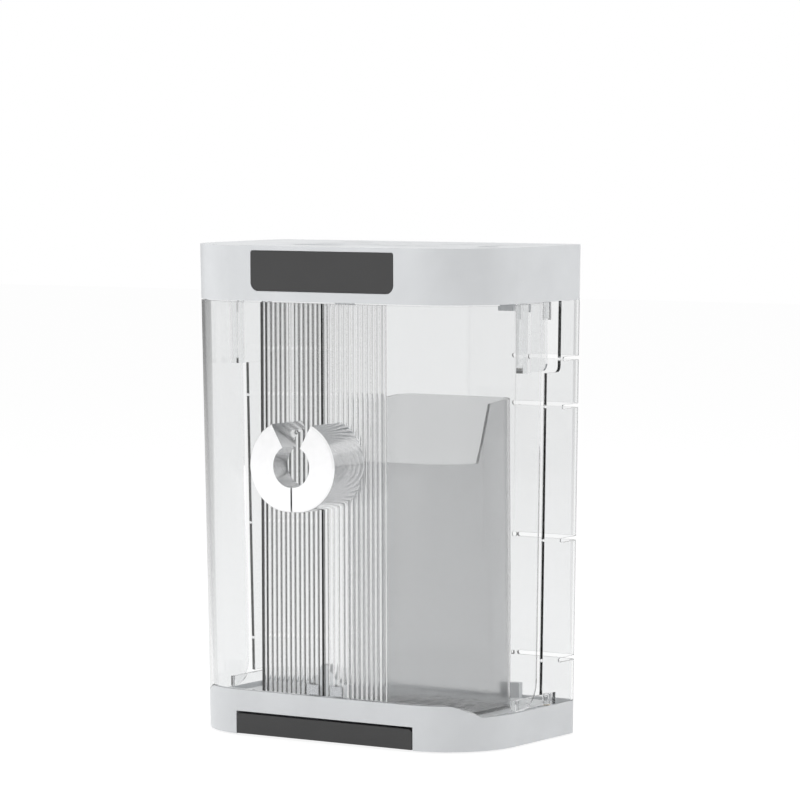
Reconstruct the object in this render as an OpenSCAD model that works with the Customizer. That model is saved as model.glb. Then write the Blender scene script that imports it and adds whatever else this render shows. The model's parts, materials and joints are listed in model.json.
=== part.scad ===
// Knife and chopstick holder: a clear cabinet with two wrap-round doors, a slotted knife deck on top,
// a chopstick cup inside and a drip tray that slides out of the base.
// Millimetres, +Z up, the doors face -Y, origin at the centre of the footprint on the table.

/* [Body] */
// Width across the top of the cap
body_w = 256; // [246:1:270]
// Depth from the door fronts to the back
body_d = 134; // [130:1:144]
// Overall height
body_h = 340; // [330:1:360]
// Radius of the two front corners
corner_r = 52; // [46:1:54]
// Radius of the two back corners
back_r = 8; // [6:0.5:12]
// Lean of each side towards the base, in degrees
side_lean = 1.08; // [0.8:0.02:1.2]
// Wall of the clear doors and of the clear rear shell
clear_wall = 2.4; // [2.2:0.1:2.8]

/* [Base] */
// Height of the base at the front sill
sill_h = 32; // [30:0.5:36]
// Height of the base along the sides and back
side_h = 24; // [23:0.5:26]
// How far the tall sill runs back round the corners
sill_run = 9; // [6:0.5:12]
// Length of the ramp from the sill down to the sides
ramp_run = 15; // [10:0.5:20]
// Wall of the base
base_wall = 3; // [2.5:0.1:3.5]
// Thickness of the plate under the tray
bottom_t = 2; // [1.6:0.1:2.4]
// Thickness of the floor above the tray
floor_t = 2.8; // [2.4:0.1:3.2]
// Clear height of the tray tunnel
tunnel_h = 14; // [13:0.5:15]

/* [Drip tray] */
// Width of the tray front
tray_front_w = 146; // [130:1:150]
// Height of the tray front
tray_front_h = 14; // [12:0.5:14.5]
// Thickness of the tray front
tray_front_t = 3.4; // [3:0.1:4]
// Radius of the upper corners of the tray front
tray_front_r = 3; // [2:0.5:5]
// Length of the tray behind its front
tray_len = 108; // [90:1:112]
// Wall of the tray
tray_wall = 1.6; // [1.2:0.1:2]
// How far the tray's sides stand in from the ends of its front
tray_side_step = 3; // [2:0.5:4]
// How far the tray's rim stays below the top of its front
tray_rim_drop = 3; // [2:0.5:4]
// Running clearance under the tray
tray_play = 0.3; // [0.2:0.1:0.5]
// Gap under the tray front
tray_front_gap = 0.4; // [0.3:0.1:0.6]
// Radius of the lower corners of the tray front
tray_front_low_r = 0.6; // [0.4:0.1:1]

/* [Drain floor] */
// Thickness of the drain grid
grid_t = 3; // [2.4:0.1:3.4]
// Width of the drain slots
slot_w = 3; // [2:0.1:3.6]
// Spacing of the drain slots
slot_pitch = 12; // [9:0.5:16]
// Length of the drain slots
slot_len = 40; // [30:1:42]
// Distance from the front to the middle of the front row of slots
slot_row_y = 42; // [40:0.5:46]
// Bar between the two rows of slots
slot_bar = 4; // [3:0.5:6]
// Plain margin beside the front row of slots
front_row_margin = 22; // [20:0.5:26]
// Plain margin beside the rear row of slots
rear_row_margin = 8; // [6:0.5:12]
// Gap round the drain grid
grid_gap = 3; // [2.6:0.1:3.6]

/* [Cap] */
// Height of the cap
cap_h = 38; // [36:0.5:42]
// Wall of the cap
cap_wall = 3; // [2.6:0.1:3.4]
// Thickness of the top plate and of the deck let into it
deck_t = 3; // [2.6:0.1:3.4]
// Width of the ledge that carries the deck
deck_ledge = 7; // [6:0.5:8]
// Depth of the sleeves under the knife slots
sleeve_h = 18; // [10:1:20]
// Wall of the sleeves
sleeve_wall = 1.4; // [1.2:0.1:1.8]
// Width of the dark front panel
fascia_w = 118; // [100:1:124]
// Height of the dark front panel
fascia_h = 27.6; // [24:0.2:28]
// Thickness of the dark front panel
fascia_t = 1.5; // [1.2:0.1:1.8]
// Gap from the top of the cap to the panel
fascia_drop = 3.4; // [2.4:0.2:5]
// Radius of the panel's lower corners
fascia_low_r = 6; // [5:0.5:8]
// Radius of the panel's upper corners
fascia_high_r = 1.5; // [1:0.1:2]
// Radius of the pegs behind the panel
peg_r = 2; // [1.6:0.1:2.4]
// Distance of a peg in from the panel's end
peg_in = 14; // [12:0.5:18]
// Distance from the middle to the deck's left end
deck_left = 58; // [56:0.5:60]
// Distance of the deck in from the cap's right side and back
deck_in = 10; // [9:0.5:11]
// Distance of the deck behind the cap's front
deck_back = 22; // [21:0.5:24]
// Radius of the deck's corners
deck_r = 10; // [9:0.5:12]

/* [Knife slots] */
// Width of a knife slot
knife_slot_w = 5; // [4.4:0.1:6]
// Length of a long knife slot
long_slot = 56; // [50:1:58]
// Length of a short knife slot
short_slot = 26; // [22:1:27]
// Width of the scissors slot
scissor_slot_w = 13; // [11:0.5:14]
// Length of the scissors slot
scissor_slot = 42; // [36:1:46]
// Distances of the left-hand slots from the deck's left end, front to back
left_slots = [30, 37, 22, 55]; // [20:1:60]
// Distances of the right-hand slots from the deck's right end, front to back
right_slots = [81, 49]; // [40:1:90]
// Distances of the rows of slots behind the front
slot_rows = [37, 47, 62, 84, 97]; // [30:1:100]
// Radius of the hole for the sharpening steel
steel_r = 8; // [6:0.5:9]
// Gap between the steel's sleeve and the ledge
steel_play = 0.6; // [0.5:0.1:1]
// Distance of the steel behind the front
steel_back = 52; // [48:1:56]

/* [Doors] */
// Gap between the two doors at the seam
seam_gap = 0.8; // [0.6:0.1:1.2]
// Gap between a door and the sill or cap
door_gap = 0.8; // [0.7:0.1:1]
// Distance from the door front to its rear edge along the side
door_run = 80; // [78:1:84]
// Gap between a door's rear edge and the shell
rear_gap = 7; // [2.4:0.1:8]
// Radius of a door's lower rear corner
door_corner_r = 18; // [14:0.5:20]
// Ribs on each door
rib_n = 12; // [8:1:12]
// Spacing of the ribs
rib_pitch = 3.9; // [3.6:0.1:4]
// Radius of a rib
rib_r = 1.7; // [1.4:0.1:1.8]
// Radius of the bead that borders the ribs
bead_r = 2.4; // [2:0.1:3]
// Depth of the flats let into a door for screw heads and strikes
flat_depth = 0.3; // [0.2:0.1:0.5]

/* [Hinges] */
// Distance from the door's rear edge back to the hinge axis
hinge_run = 19.5; // [18:0.5:21]
// Distance of the hinge axis in from the side at the cap's top
hinge_inset = 10.5; // [10:0.1:11.5]
// Radius of a hinge pin
pin_r = 1.5; // [1.3:0.1:1.8]
// Running clearance of a pin in its bush
pin_play = 0.06; // [0.04:0.01:0.08]
// Clearance of a pressed-in pin, bush or screw in its seat
pin_seat = 0.02; // [0.01:0.01:0.03]
// Depth of a pin in the upper arm
pin_grip = 11; // [10:0.5:12]
// Outer radius of a bush
bush_r = 3.2; // [2.9:0.1:3.4]
// Length of a bush
bush_len = 8; // [6:0.5:9]
// Radius of the door's hinge bosses
boss_r = 4; // [3.6:0.1:4.2]
// Height of the upper hinge arm
ear_h = 47; // [40:1:52]
// Height of the lower hinge arm
arm_h = 7; // [6:0.5:8]
// How far the upper arm runs forwards along the door's wall
ear_lap = 13; // [0:0.5:16]
// How far the lower arm runs forwards along the door's wall
arm_lap = 21; // [18:0.5:24]
// Thickness of a hinge arm
arm_t = 3.2; // [2.8:0.1:3.6]
// Radius of the lower corner of the upper arm
ear_r = 6; // [4:0.5:8]
// Radius of the lower corner of the lower arm
arm_r = 0.5; // [0.3:0.1:1]
// Radius of the corner of the notch that the upper arm swings through
notch_r = 4; // [3:0.5:5]
// Room behind an open hinge arm
hinge_room = 3.4; // [3:0.1:4.4]

/* [Handle] */
// Height of the ring's centre
ring_z = 192.7; // [180:0.1:205]
// How far the ring stands out from the doors
ring_reach = 36; // [30:0.5:38]
// Radius of each half of the ring
ring_r = 31; // [29:0.5:33]
// Distance of each half's centre from the seam
ring_shift = 3.8; // [2:0.1:5]
// Radius of the hole in the ring
ring_hole_r = 14.1; // [12:0.1:15]
// Thickness of the ring's front
ring_front_t = 17; // [12:0.5:20]
// Wall of the ring behind its front
ring_wall = 6; // [5.4:0.1:6.6]
// Half angle of the notch in the top of the ring
notch_angle = 30; // [24:1:32]
// Rounding of the ring's front edge
ring_fillet = 1.6; // [1:0.1:2]
// Gap between the two halves of the ring
ring_gap = 1.4; // [1:0.1:1.8]
// Angles of the two screws in each half of the ring
handle_screw_angles = [-47, 35]; // [-50:1:50]
// Depth of the screws in the handle
handle_grip = 9; // [8:0.5:10]

/* [Chopstick cup] */
// Left side of the cup from the middle
cup_left = 8; // [6:0.5:14]
// Gap from the side of the body to the cup
cup_side_gap = 27; // [24:0.5:34]
// Gap from the door fronts to the cup
cup_front_gap = 15; // [14:0.5:22]
// Gap from the back to the cup
cup_back_gap = 47; // [42:0.5:52]
// Height of the rim at the front
cup_front_z = 194; // [170:1:210]
// Height of the rim at the back
cup_back_z = 236; // [220:1:245]
// How far the rim falls towards the front before its step
cup_rim_fall = 2.5; // [1:0.5:4]
// Distance from the cup's front to the foot of the step in its rim
cup_step_y = 26; // [20:0.5:30]
// Length of the step
cup_step_run = 14; // [10:0.5:18]
// Wall of the cup
cup_wall = 2; // [1.6:0.1:2.4]
// Radius of the cup's front outer corner
cup_corner_r = 34; // [30:1:38]
// Radius of its other corners
cup_small_r = 9; // [6:0.5:12]
// Plain margin beside the drain slots in the cup's floor
cup_slot_margin = 22; // [20:0.5:26]

/* [Rear shell] */
// Heights of the vent slots
vent_z = [54, 137, 229, 262]; // [40:1:270]
// Height of a vent slot
vent_h = 3; // [2.4:0.1:3.6]
// How far a vent runs along the side
vent_side_run = 24; // [16:0.5:25]
// How far a vent runs along the back
vent_back_run = 54; // [40:1:56]
// Distance from the middle to each lip that the shell is screwed to
lip_x = 70; // [60:1:72]
// Width of a lip
lip_w = 14; // [12:1:28]
// Thickness of a lip
lip_t = 4.5; // [4:0.1:5]
// How far a lip reaches into the shell
lip_reach = 9; // [8:0.5:12]
// Distance of a lip's screw from the shell's edge
lip_screw = 4.8; // [4.5:0.1:5.5]

/* [Door catch] */
// Width of the catch
catch_w = 39; // [34:0.5:42]
// Peak height of the catch above the sill
catch_peak = 22; // [18:0.5:24]
// Height of its shoulders above the sill
catch_shoulder = 9; // [8:0.5:10]
// Width of its peak
catch_peak_w = 6; // [5:0.5:8]
// Depth of the catch
catch_d = 8; // [6:0.5:9]
// Radius of a catch magnet
magnet_r = 4; // [3:0.1:4.2]
// Thickness of a catch magnet
magnet_t = 3; // [2:0.1:4]
// Width of a strike plate
strike_w = 10; // [8:0.5:11]
// Height of a strike plate
strike_h = 7; // [6:0.5:8]
// Thickness of a strike plate
strike_t = 1; // [0.8:0.1:1.2]

/* [Fixings] */
// Radius of a screw's shank
screw_r = 1.4; // [1.2:0.1:1.6]
// Radius of a screw's head
screw_head_r = 2.6; // [2.4:0.1:2.8]
// Height of a screw's head
screw_head_h = 1.5; // [1.3:0.1:1.6]
// Gap round a screw in its hole
screw_play = 0.2; // [0.1:0.05:0.3]
// Depth by which a sunk head lies below its face
screw_sink = 0.1; // [0.05:0.05:0.2]
// Plastic left over the end of a blind screw hole
screw_skin = 1; // [0.8:0.1:1.2]
// Gap past a screw's tip
tip_gap = 0.4; // [0.3:0.1:0.6]
// Gap round a fixed piece in its pocket
fit_gap = 0.25; // [0.15:0.05:0.3]
// Radius of a rubber foot
foot_r = 8; // [6:0.5:9]
// Height of a rubber foot
foot_h = 2; // [1.8:0.1:2.4]
// How far a foot stands out of the base
foot_show = 1.2; // [1:0.1:1.4]
// Distance of the front feet in from the sides
front_foot_in = 38; // [34:0.5:40]
// Distance of the front feet behind the front
front_foot_back = 30; // [28:0.5:34]
// Distance of the rear feet in from the sides
rear_foot_in = 26; // [24:0.5:30]
// Distance of the rear feet from the back
rear_foot_back = 18; // [16:0.5:22]

/* [Hidden] */
$fn = 64;

light_grey = "#dadcde";
dark_grey = "#5d5d5d";
clear_tint = "#e8eef0";
cup_tint = "#b4bac0";

// Overall places
half_w = body_w / 2;
front_y = -(body_d + ring_reach) / 2 + ring_reach;
back_y = front_y + body_d;
cap_z = body_h - cap_h;
over = 1;
least_r = 0.5;
thin = 0.01;

// Base levels
tunnel_z = foot_show + bottom_t;
floor_z0 = tunnel_z + tunnel_h;
floor_z = floor_z0 + floor_t;
grid_z = floor_z + grid_t;
ramp_y0 = front_y + sill_run;
ramp_y1 = ramp_y0 + ramp_run;

// Drip tray
tray_w = tray_front_w - 2 * tray_side_step;
tray_z = tunnel_z + tray_play;
tray_h = tray_front_h - tray_rim_drop;
tray_back = front_y + tray_front_t + tray_len;
tunnel_hw = tray_front_w / 2 + fit_gap * 2;

// Doors and hinges
door_z0 = side_h + door_gap;
door_z1 = cap_z - door_gap;
door_rear = front_y + door_run;
shell_front = door_rear + rear_gap;
hinge_x = half_w - hinge_inset;
hinge_y = door_rear + hinge_run;
inner_y = front_y + clear_wall;
ear_z = door_z1 - ear_h;
arm_z1 = door_z0 + arm_h;
notch_run = hinge_run + arm_t / 2 + hinge_room;
notch_y = door_rear + notch_run;
arm_notch_y = hinge_y + boss_r + door_gap;
catch_y = inner_y + rib_r + door_gap;

// Cap
deck_x0 = -deck_left;
deck_x1 = half_w - deck_in;
deck_y0 = front_y + deck_back;
deck_y1 = back_y - deck_in;
deck_z = body_h - deck_t;
ledge_z = deck_z - deck_t;
fascia_z1 = body_h - fascia_drop;
fascia_z0 = fascia_z1 - fascia_h;
peg_x = fascia_w / 2 - peg_in;

// Screws that hold the shell to the lips of the base and cap
lip_y = back_y - clear_wall - fit_gap;
lip_low_z = side_h + lip_screw;
lip_high_z = cap_z - lip_screw;

// Drain grid
grid_hw = hinge_x - 2.5 * boss_r;
grid_y0 = catch_y + catch_d + grid_gap;
grid_y1 = lip_y - lip_t - grid_gap;
rear_row_y = front_y + slot_row_y + slot_len + slot_bar;

// Cup
cup_right = half_w - cup_side_gap;

// Handle screws, set by their angles on the wall behind the ring's front
handle_screw_ring = ring_r - ring_wall / 2;

// Knife slots as [x, y, length, width], placed from the deck's ends and the front
slots = [
    [deck_x0 + left_slots[0], front_y + slot_rows[0], scissor_slot, scissor_slot_w],
    [deck_x1 - right_slots[0], front_y + slot_rows[1], long_slot, knife_slot_w],
    [deck_x0 + left_slots[1], front_y + slot_rows[2], long_slot, knife_slot_w],
    [deck_x1 - right_slots[1], front_y + slot_rows[3], long_slot, knife_slot_w],
    [deck_x0 + left_slots[2], front_y + slot_rows[4], short_slot, knife_slot_w],
    [deck_x0 + left_slots[3], front_y + slot_rows[4], short_slot, knife_slot_w]
];
steel_x = deck_x1 - deck_ledge - sleeve_wall - steel_play - steel_r;
steel_y = front_y + steel_back;

// Outline of the right half of the body, inset from the outside, running past the seam to the left
module right_plan(inset) {
    front_r = max(corner_r - inset, least_r);
    rear_r = max(back_r - inset, least_r);
    right = half_w - inset;
    low = front_y + inset;
    high = back_y - inset;
    translate([-half_w, low]) square([half_w + right - front_r, high - low - rear_r]);
    translate([-half_w, low + front_r]) square([half_w + right, high - low - front_r - rear_r]);
    translate([-half_w, high - 2 * rear_r]) square([half_w + right - rear_r, 2 * rear_r]);
    translate([right - front_r, low + front_r]) circle(r = front_r);
    translate([right - rear_r, high - rear_r]) circle(r = rear_r);
}

// Right half of the leaning body between two heights, from x0 outwards
module half_body(inset, z0, z1, x0 = 0) {
    intersection() {
        translate([half_w, 0, body_h])
            rotate([0, side_lean, 0])
                translate([-half_w, 0, -2 * body_h])
                    linear_extrude(3 * body_h) right_plan(inset);
        translate([x0, front_y - over, z0]) cube([half_w + over - x0, body_d + 2 * over, z1 - z0]);
    }
}

module both_sides() {
    children();
    mirror([1, 0, 0]) children();
}

module full_body(inset, z0, z1) {
    both_sides() half_body(inset, z0, z1);
}

// Shape drawn in Y and Z, run along X
module along_x(x0, x1) {
    translate([x0, 0, 0]) rotate([90, 0, 90]) linear_extrude(x1 - x0) children();
}

// Everything above the sill line, raised by a gap
module above_sill(gap) {
    along_x(-body_w, body_w) polygon([
        [front_y - body_d, sill_h + gap], [ramp_y0, sill_h + gap], [ramp_y1, side_h + gap],
        [back_y + body_d, side_h + gap], [back_y + body_d, 2 * body_h], [front_y - body_d, 2 * body_h]
    ]);
}

// Round-ended slot along X
module slot_2d(len, wid) {
    square([len - wid, wid], center = true);
    for (s = [-1, 1]) translate([s * (len - wid) / 2, 0]) circle(d = wid);
}

// Rectangle from a corner, with its own radius below and above
module panel_2d(w, h, r_low, r_high) {
    translate([-w / 2 + r_low, 0]) square([w - 2 * r_low, h / 2]);
    translate([-w / 2, r_low]) square([w, h - r_low - r_high]);
    translate([-w / 2 + r_high, h / 2]) square([w - 2 * r_high, h / 2]);
    for (s = [-1, 1]) {
        translate([s * (w / 2 - r_low), r_low]) circle(r = r_low);
        translate([s * (w / 2 - r_high), h - r_high]) circle(r = r_high);
    }
}

module rounded_rect(x0, y0, x1, y1, r) {
    translate([x0 + r, y0]) square([x1 - x0 - 2 * r, y1 - y0]);
    translate([x0, y0 + r]) square([x1 - x0, y1 - y0 - 2 * r]);
    for (x = [x0 + r, x1 - r], y = [y0 + r, y1 - r]) translate([x, y]) circle(r = r);
}

// Panel standing in the front face, from depth y0 back to y1
module front_panel(y0, y1, z) {
    translate([0, y1, z]) rotate([90, 0, 0]) linear_extrude(y1 - y0) children();
}

module feet_places() {
    for (s = [-1, 1]) {
        translate([s * (half_w - front_foot_in), front_y + front_foot_back, 0]) children();
        translate([s * (half_w - rear_foot_in), back_y - rear_foot_back, 0]) children();
    }
}

module hinge_place() {
    translate([hinge_x, hinge_y, 0]) children();
}

module drain_slots(z0, z1, x_max, y_mid) {
    n = floor(x_max / slot_pitch);
    for (i = [-n : n])
        translate([i * slot_pitch, y_mid, z0])
            linear_extrude(z1 - z0) rotate(90) slot_2d(slot_len, slot_w);
}

// Lip behind the shell's back wall, with a screw hole from the back
module lip(z0, z1, z_screw) {
    both_sides() difference() {
        translate([lip_x - lip_w / 2, lip_y - lip_t, z0]) cube([lip_w, lip_t, z1 - z0]);
        translate([lip_x, lip_y + over, z_screw]) rotate([90, 0, 0])
            cylinder(r = screw_r + pin_seat, h = lip_t + 2 * over);
    }
}

// Base
module base_hollow() {
    difference() {
        half_body(base_wall, -over, floor_z0, tunnel_hw + base_wall);
        feet_places() cylinder(r = foot_r + base_wall, h = floor_z0);
        hinge_place() cylinder(r = bush_r + base_wall, h = floor_z0);
    }
}

module base_shell() {
    color(light_grey) difference() {
        union() {
            difference() {
                full_body(0, foot_show, sill_h);
                above_sill(0);
                full_body(base_wall, floor_z, sill_h + over);
                both_sides() base_hollow();
            }
            lip(floor_z - over, side_h + lip_reach, lip_low_z);
            both_sides() intersection() {
                hinge_place() cylinder(r = bush_r + base_wall, h = side_h);
                half_body(base_wall / 2, foot_show, side_h);
            }
        }
        both_sides() hinge_place() translate([0, 0, side_h - bush_len - over])
            cylinder(r = bush_r + pin_seat, h = bush_len + 2 * over);
        translate([-tunnel_hw, front_y - over, tunnel_z])
            cube([2 * tunnel_hw, tray_back - front_y + 2 * over, tunnel_h]);
        front_panel(front_y - over, front_y + tray_front_t + fit_gap, -over)
            panel_2d(2 * tunnel_hw, tunnel_z + tray_front_h + over, thin, tray_front_r + fit_gap * 2);
        feet_places() translate([0, 0, -over]) cylinder(r = foot_r + fit_gap, h = foot_h + over);
        intersection() {
            drain_slots(floor_z0 - over, floor_z + over, tunnel_hw - slot_pitch, front_y + slot_row_y);
            translate([-body_w, front_y, floor_z0 - over]) cube([2 * body_w, body_d, floor_t + 2 * over]);
        }
    }
}

module drain_grid() {
    color("#e4e6e8") difference() {
        intersection() {
            full_body(base_wall + fit_gap * 4, floor_z, grid_z);
            translate([-grid_hw, grid_y0, floor_z]) cube([2 * grid_hw, grid_y1 - grid_y0, grid_t]);
        }
        drain_slots(floor_z - over, grid_z + over, grid_hw - front_row_margin, front_y + slot_row_y);
        drain_slots(floor_z - over, grid_z + over, grid_hw - rear_row_margin, rear_row_y);
    }
}

module rubber_feet() {
    color("#303030") feet_places() cylinder(r = foot_r, h = foot_h);
}

// Drip tray
module drip_tray() {
    color(light_grey) difference() {
        translate([-tray_w / 2, front_y + tray_front_t, tray_z]) cube([tray_w, tray_len, tray_h]);
        translate([-tray_w / 2 + tray_wall, front_y + tray_front_t + tray_wall, tray_z + tray_wall])
            cube([tray_w - 2 * tray_wall, tray_len - 2 * tray_wall, tray_h]);
        tray_screw_places() cylinder(r = screw_r + screw_play, h = 4 * tray_wall, center = true);
    }
}

module tray_front() {
    color(dark_grey) difference() {
        front_panel(front_y, front_y + tray_front_t, foot_show + tray_front_gap)
            panel_2d(tray_front_w, tray_front_h, tray_front_low_r, tray_front_r);
        tray_screw_places() translate([0, 0, -tray_front_t + screw_skin])
            cylinder(r = screw_r + pin_seat, h = tray_front_t);
    }
}

// Screws from inside the tray forwards into its front
module tray_screw_places() {
    for (s = [-1, 1])
        translate([s * tray_w / 4, front_y + tray_front_t, tray_z + tray_h / 2])
            rotate([-90, 0, 0]) children();
}

module tray_screws() {
    color("silver") tray_screw_places() {
        translate([0, 0, -tray_front_t + screw_skin + tip_gap])
            cylinder(r = screw_r, h = tray_front_t - screw_skin + tray_wall);
        translate([0, 0, tray_wall]) cylinder(r = screw_head_r, h = screw_head_h);
    }
}

// Rear shell
module vents() {
    for (z = vent_z) both_sides() {
        translate([half_w - vent_back_run, back_y - vent_side_run, z - vent_h / 2])
            cube([vent_back_run + over, vent_side_run + over, vent_h]);
        translate([half_w - vent_back_run, back_y + over, z])
            rotate([90, 0, 0]) cylinder(d = vent_h, h = clear_wall + 2 * over + back_r);
        translate([half_w - 4 * clear_wall, back_y - vent_side_run, z])
            rotate([0, 90, 0]) cylinder(d = vent_h, h = 5 * clear_wall);
    }
}

// Openings in the shell's sides for the hinge ears and arms to swing through
module hinge_notches() {
    both_sides() along_x(hinge_x - 3 * boss_r, half_w + over) {
        translate([door_rear - body_d, ear_z - door_gap]) square([notch_run + body_d - notch_r, ear_h * 2]);
        translate([door_rear - body_d, ear_z - door_gap + notch_r]) square([notch_run + body_d, ear_h * 2]);
        translate([notch_y - notch_r, ear_z - door_gap + notch_r]) circle(r = notch_r);
        translate([door_rear - body_d, -over])
            square([arm_notch_y - door_rear + body_d, arm_z1 + door_gap + over]);
    }
}

module shell_half() {
    intersection() {
        difference() {
            half_body(0, side_h, cap_z);
            half_body(clear_wall, side_h - over, cap_z + over, -body_w);
        }
        translate([-over, shell_front, 0]) cube([body_w, body_d, body_h]);
    }
}

module rear_shell() {
    color(clear_tint, 0.35) difference() {
        both_sides() shell_half();
        vents();
        hinge_notches();
        shell_screw_places() {
            cylinder(r = screw_r + screw_play, h = 4 * clear_wall, center = true);
            translate([0, 0, -screw_head_h - screw_play])
                cylinder(r1 = screw_r, r2 = screw_head_r + screw_play, h = screw_head_h + screw_play);
        }
    }
}

// Screws forwards through the shell's back, heads sunk flush
module shell_screw_places() {
    for (s = [-1, 1], z = [lip_low_z, lip_high_z])
        translate([s * lip_x, back_y, z]) rotate([-90, 0, 0]) children();
}

module shell_screws() {
    color("silver") shell_screw_places() {
        translate([0, 0, -screw_head_h - screw_sink])
            cylinder(r1 = screw_r, r2 = screw_head_r, h = screw_head_h);
        translate([0, 0, -clear_wall - lip_t]) cylinder(r = screw_r, h = clear_wall + lip_t - screw_head_h);
    }
}

// Cap
module cap_boss() {
    intersection() {
        hinge_place() union() {
            translate([0, 0, cap_z]) cylinder(r = bush_r + cap_wall, h = bush_len + cap_wall);
            translate([0, -bush_r, cap_z]) cube([hinge_inset, 2 * bush_r, bush_len + cap_wall]);
        }
        half_body(cap_wall / 2, cap_z, body_h);
    }
}

module deck_screw_places() {
    inset = deck_ledge / 2;
    for (x = [deck_x0 + deck_r, deck_x1 - deck_r], y = [deck_y0 + inset, deck_y1 - inset])
        translate([x, y, ledge_z]) children();
}

module top_cap() {
    color(light_grey) difference() {
        union() {
            difference() {
                full_body(0, cap_z, body_h);
                full_body(cap_wall, cap_z - over, deck_z);
            }
            both_sides() cap_boss();
            translate([0, 0, ledge_z]) linear_extrude(deck_t + over)
                rounded_rect(deck_x0 - cap_wall, deck_y0 - cap_wall, deck_x1 + cap_wall,
                             deck_y1 + cap_wall, deck_r + cap_wall);
            both_sides() translate([lip_x - lip_w / 2, lip_y - lip_t, cap_z - lip_reach])
                cube([lip_w, lip_t, lip_reach + deck_z - cap_z + over / 2]);
        }
        translate([0, 0, deck_z]) linear_extrude(deck_t + over)
            rounded_rect(deck_x0 - fit_gap, deck_y0 - fit_gap, deck_x1 + fit_gap,
                         deck_y1 + fit_gap, deck_r);
        translate([0, 0, ledge_z - over]) linear_extrude(deck_t + 2 * over)
            rounded_rect(deck_x0 + deck_ledge, deck_y0 + deck_ledge, deck_x1 - deck_ledge,
                         deck_y1 - deck_ledge, deck_r - deck_ledge);
        both_sides() hinge_place() translate([0, 0, cap_z - over])
            cylinder(r = bush_r + pin_seat, h = bush_len + over);
        front_panel(front_y - over, front_y + fascia_t, fascia_z0 - fit_gap)
            panel_2d(fascia_w + 2 * fit_gap, fascia_h + 2 * fit_gap, fascia_low_r + fit_gap,
                     fascia_high_r + fit_gap);
        fascia_peg_places() cylinder(r = peg_r + fit_gap, h = 4 * cap_wall, center = true);
        deck_screw_places() cylinder(r = screw_r + screw_play, h = 4 * deck_t, center = true);
        both_sides() translate([lip_x, lip_y + over, lip_high_z]) rotate([90, 0, 0])
            cylinder(r = screw_r + pin_seat, h = lip_t + 2 * over);
    }
}

module fascia_peg_places() {
    for (s = [-1, 1])
        translate([s * peg_x, front_y + fascia_t, (fascia_z0 + fascia_z1) / 2])
            rotate([-90, 0, 0]) children();
}

module cap_fascia() {
    color(dark_grey) {
        front_panel(front_y, front_y + fascia_t, fascia_z0)
            panel_2d(fascia_w, fascia_h, fascia_low_r, fascia_high_r);
        fascia_peg_places() translate([0, 0, -fascia_t / 2])
            cylinder(r = peg_r, h = fascia_t / 2 + cap_wall);
    }
}

module knife_deck() {
    color("#cfd2d4") difference() {
        union() {
            translate([0, 0, deck_z]) linear_extrude(deck_t)
                rounded_rect(deck_x0, deck_y0, deck_x1, deck_y1, deck_r);
            translate([steel_x, steel_y, deck_z - sleeve_h])
                cylinder(r = steel_r + sleeve_wall, h = sleeve_h + deck_t / 2);
        }
        for (s = slots) translate([s[0], s[1], deck_z - over])
            linear_extrude(deck_t + 2 * over) slot_2d(s[2], s[3]);
        translate([steel_x, steel_y, deck_z - sleeve_h - over])
            cylinder(r = steel_r, h = sleeve_h + deck_t + 2 * over);
        deck_screw_places() translate([0, 0, deck_t - over]) cylinder(r = screw_r + pin_seat, h = deck_t);
    }
}

// Sleeves welded under the deck, one round each knife slot
module slot_sleeves() {
    color("#cfd2d4") for (s = slots) translate([s[0], s[1], deck_z - sleeve_h]) linear_extrude(sleeve_h)
        difference() {
            slot_2d(s[2] + 2 * sleeve_wall, s[3] + 2 * sleeve_wall);
            slot_2d(s[2], s[3]);
        }
}

module deck_screws() {
    color("silver") deck_screw_places() {
        cylinder(r = screw_r, h = 2 * deck_t - screw_skin - tip_gap);
        translate([0, 0, -screw_head_h]) cylinder(r = screw_head_r, h = screw_head_h);
    }
}

// Chopstick cup
module cup_plan(inset) {
    x0 = cup_left + inset;
    x1 = cup_right - inset;
    y0 = front_y + cup_front_gap + inset;
    y1 = back_y - cup_back_gap - inset;
    big = cup_corner_r - inset;
    small = cup_small_r - inset;
    translate([x0 + small, y0]) square([x1 - x0 - small - big, y1 - y0]);
    translate([x0, y0 + small]) square([x1 - x0 - big, y1 - y0 - 2 * small]);
    translate([x0 + small, y0 + big]) square([x1 - x0 - small, y1 - y0 - big - small]);
    translate([x0 + small, y1 - 2 * small]) square([x1 - x0 - 2 * small, 2 * small]);
    translate([x0 + small, y0 + small]) circle(r = small);
    translate([x0 + small, y1 - small]) circle(r = small);
    translate([x1 - small, y1 - small]) circle(r = small);
    translate([x1 - big, y0 + big]) circle(r = big);
}

module chopstick_cup() {
    y0 = front_y + cup_front_gap;
    y1 = back_y - cup_back_gap;
    step_y = y0 + cup_step_y;
    color(cup_tint, 0.6) difference() {
        translate([0, 0, grid_z]) linear_extrude(cup_back_z - grid_z) cup_plan(0);
        translate([0, 0, grid_z + cup_wall]) linear_extrude(body_h) cup_plan(cup_wall);
        along_x(-body_w, body_w) polygon([
            [y0 - body_d, cup_front_z], [step_y, cup_front_z],
            [step_y + cup_step_run, cup_back_z - cup_rim_fall], [y1, cup_back_z],
            [y1, 2 * body_h], [y0 - body_d, 2 * body_h]
        ]);
        for (x = [cup_left + cup_slot_margin : slot_pitch : cup_right - cup_slot_margin])
            translate([x, (y0 + y1) / 2, grid_z - over])
                linear_extrude(cup_wall + 2 * over) rotate(90) slot_2d(slot_len, slot_w);
    }
}

// Door catch
module magnet_places() {
    for (s = [-1, 1])
        translate([s * catch_w / 4, catch_y, sill_h + catch_shoulder / 2]) rotate([-90, 0, 0]) children();
}

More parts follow.
